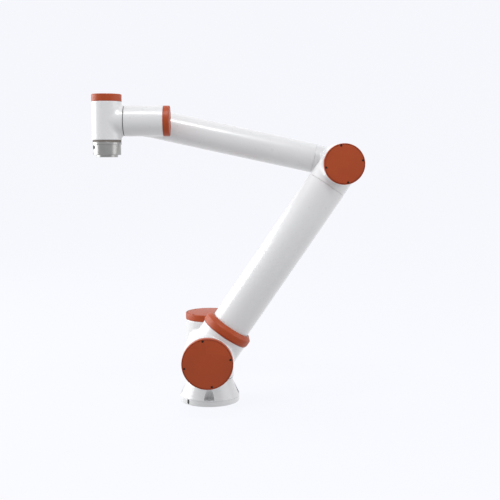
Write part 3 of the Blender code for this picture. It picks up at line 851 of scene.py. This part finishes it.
def build_tool_flange(casting):
    top = -casting.back - SEAM
    lip, ring_low = top - TOOL_GROOVE_DEPTH, top - TOOL_RING_END
    body_low, face = top - TOOL_BODY_END, top - TOOL_FACE_END
    recess = face + TOOL_RECESS_DEPTH
    flange = piece("tool_body", turned("tool_body", [
        (TOOL_WAY, top, 0), (TOOL_NECK_RADIUS, top, 0), (TOOL_NECK_RADIUS, lip, 0),
        (TOOL_RING_RADIUS, lip, 0.0010), (TOOL_RING_RADIUS, ring_low, 0.0010),
        (TOOL_BODY_RADIUS, ring_low, 0), (TOOL_BODY_RADIUS, body_low, 0.0016),
        (TOOL_FACE_RADIUS, body_low, 0.0004), (TOOL_FACE_RADIUS, face, 0.0007),
        (TOOL_RECESS_RADIUS, face, 0.0005), (TOOL_RECESS_RADIUS, recess, 0),
        (TOOL_WAY, recess, 0)], AROUND_FINE), GREY, casting.matrix,
        "tool", ["tool_flange"])
    bm = bmesh.new()
    for k in range(4):
        place = at_angle(math.pi / 4 + k * math.pi / 2, TOOL_HOLE_CIRCLE)
        lathe(bm, [(0, face - 0.001), (0.0036, face - 0.001), (0.0026, face + 0.0006),
                   (0.0025, face + 0.009), (0, face + 0.0105)], AROUND_SMALL, place=place)
    lathe(bm, [(0, face - 0.001), (0.0031, face - 0.001), (0.0030, face + 0.006),
               (0, face + 0.006)], AROUND_SMALL, place=at_angle(0, TOOL_HOLE_CIRCLE))
    cut(flange, finished(bm, "threads"), casting.matrix)
    side = Matrix.Rotation(CONNECTOR_ANGLE, 4, "Z") @ Matrix.Translation(
        (0, 0, ring_low - CONNECTOR_DROP)) @ Matrix.Rotation(math.pi / 2, 4, "Y")
    bm = bmesh.new()
    lathe(bm, [(0, 0.030), (0.0063, 0.030), (0.0063, TOOL_RING_RADIUS), (0, TOOL_RING_RADIUS)], 48)
    cut(flange, finished(bm, "socket_hole"), casting.matrix @ side)
    bm = bmesh.new()
    lathe(bm, eased([
        (0, 0.0305, 0), (0.0060, 0.0305, 0), (0.0060, 0.0396, 0.0003), (0.0055, 0.0399, 0),
        (0.0057, 0.0402, 0.0002, knurl), (0.0057, 0.0413, 0.0002, knurl), (0.0047, 0.0415, 0.0002),
        (0.0042, 0.0404, 0.0003), (0, 0.0402, 0)]), AROUND_FINE)
    piece("tool_socket", finished(bm, "tool_socket"), PLASTIC, casting.matrix @ side, "tool",
          ["tool_connector"])


# ---------------------------------------------------------------- stage, light and camera


def build_stage():
    """Round pale floor that curves up into a wall all the way round."""
    floor_radius, bend, wall_top, bend_steps = 7.0, 2.5, 9.0, 24
    outline = [(0, -0.0002), (1.0, -0.0002), (floor_radius, -0.0002)]
    for k in range(1, bend_steps + 1):
        angle = math.pi / 2 * k / bend_steps
        outline.append((floor_radius + bend * math.sin(angle), bend * (1 - math.cos(angle))))
    outline.append((floor_radius + bend, wall_top))
    bm = bmesh.new()
    lathe(bm, outline, 96, closed=False)
    mesh = bpy.data.meshes.new("stage")
    bm.to_mesh(mesh)
    bm.free()
    mesh.shade_smooth()
    mesh.materials.append(STAGE)
    floor = bpy.data.objects.new("stage", mesh)
    bpy.context.scene.collection.objects.link(floor)
    floor.visible_diffuse = False
    floor.visible_glossy = False


def build_world():
    """Soft surroundings: brighter above and behind the arm, darker below and in front."""
    world = bpy.data.worlds.new("studio")
    world.use_nodes = True
    bpy.context.scene.world = world
    tree = world.node_tree
    way = node(tree, "ShaderNodeTexCoord")
    split = node(tree, "ShaderNodeSeparateXYZ")
    tree.links.new(way.outputs["Generated"], split.inputs["Vector"])
    behind = ramp(tree, split.outputs["Y"], 0.0, 0.42, -0.4, 0.8)
    above = ramp(tree, split.outputs["Z"], 0.60, 0.72, -0.9, 0.9)
    total = node(tree, "ShaderNodeMath", operation="ADD")
    tree.links.new(behind, total.inputs[0])
    tree.links.new(above, total.inputs[1])
    background = tree.nodes["Background"]
    background.inputs["Color"].default_value = (0.975, 0.98, 1.0, 1)
    tree.links.new(total.outputs["Value"], background.inputs["Strength"])


def add_light(name, place, target, width, height, power):
    data = bpy.data.lights.new(name, "AREA")
    data.shape = "RECTANGLE"
    data.size, data.size_y, data.energy = width, height, power
    light = bpy.data.objects.new(name, data)
    bpy.context.scene.collection.objects.link(light)
    light.location = place
    light.rotation_euler = (Vector(target) - Vector(place)).to_track_quat("-Z", "Y").to_euler()
    return light


def build_lights():
    middle = (0.08, -0.1, 0.5)
    add_light("left_softbox", (-3.2, 0.7, 1.2), middle, 3.0, 3.0, 112)
    add_light("top_softbox", (-0.1, -1.4, 3.0), middle, 1.0, 0.5, 26)
    add_light("right_fill", (3.0, -0.9, 0.7), middle, 2.4, 2.4, 26)
    strip = add_light("top_strip", (-0.1, -1.3, 3.0), middle, 2.4, 1.3, 15)
    strip.visible_diffuse = False


def build_camera():
    data = bpy.data.cameras.new("camera")
    data.lens, data.sensor_width = CAMERA_LENS, 36.0
    camera = bpy.data.objects.new("camera", data)
    camera.location = CAMERA_PLACE
    camera.rotation_euler = (math.pi / 2 - CAMERA_DOWN, 0, CAMERA_TURN)
    data.clip_start, data.clip_end = 0.1, 50.0
    bpy.context.scene.collection.objects.link(camera)
    bpy.context.scene.camera = camera
    bpy.context.scene.view_settings.view_transform = "Standard"


# ---------------------------------------------------------------- assembly


def build_modules():
    spigots = {"shoulder": UPPER_SPIGOT_RADIUS, "elbow": UPPER_SPIGOT_RADIUS,
               "wrist_1": FORE_SPIGOT_RADIUS}
    walls = {"base": 0.007, "shoulder": 0.007, "elbow": 0.006}
    for name in ("base", "shoulder", "elbow", "wrist_1", "wrist_2", "wrist_3"):
        casting = Casting(
            f"{name}_housing", AXIS_AT[name], lid_way_of(name), port_way_of(name),
            walls.get(name, 0.0045), spigots.get(name, 0.0))
        casting.build()
        build_lid(name, casting)
        build_seal(name, casting)
    return casting


def build_elbow_casting():
    casting = Casting("elbow_casting", ELBOW_BACK, BACKWARD, AXIS_AT["wrist_1"] - ELBOW_BACK,
                      0.006, FORE_SPIGOT_RADIUS, opening=0.030)
    casting.build()
    build_back_cover(casting)


def finish_cad_nodes():
    """Finishes for the CAD pieces that are shown as they are."""
    slots = {part["node"]: part["material_slot"] for part in frame["record"]["subparts"]}
    for name, obj in frame["nodes"].items():
        if obj.hide_render:
            continue
        obj.data.materials.clear()
        obj.data.materials.append(CAD_FINISH[slots[name]])


build_camera()
build_stage()
build_world()
build_lights()
last_casting = build_modules()
build_elbow_casting()
upper_matrix, upper_start, upper_radius = build_tube(
    "upper_arm_tube", SHOULDER, ELBOW - SHOULDER, UPPER_TUBE_WALL)
build_tube("forearm_tube", ELBOW_BACK, AXIS_AT["wrist_1"] - ELBOW_BACK, FORE_TUBE_WALL)
build_collar(upper_matrix, upper_start, upper_radius)
build_foot()
build_tool_flange(last_casting)
finish_cad_nodes()
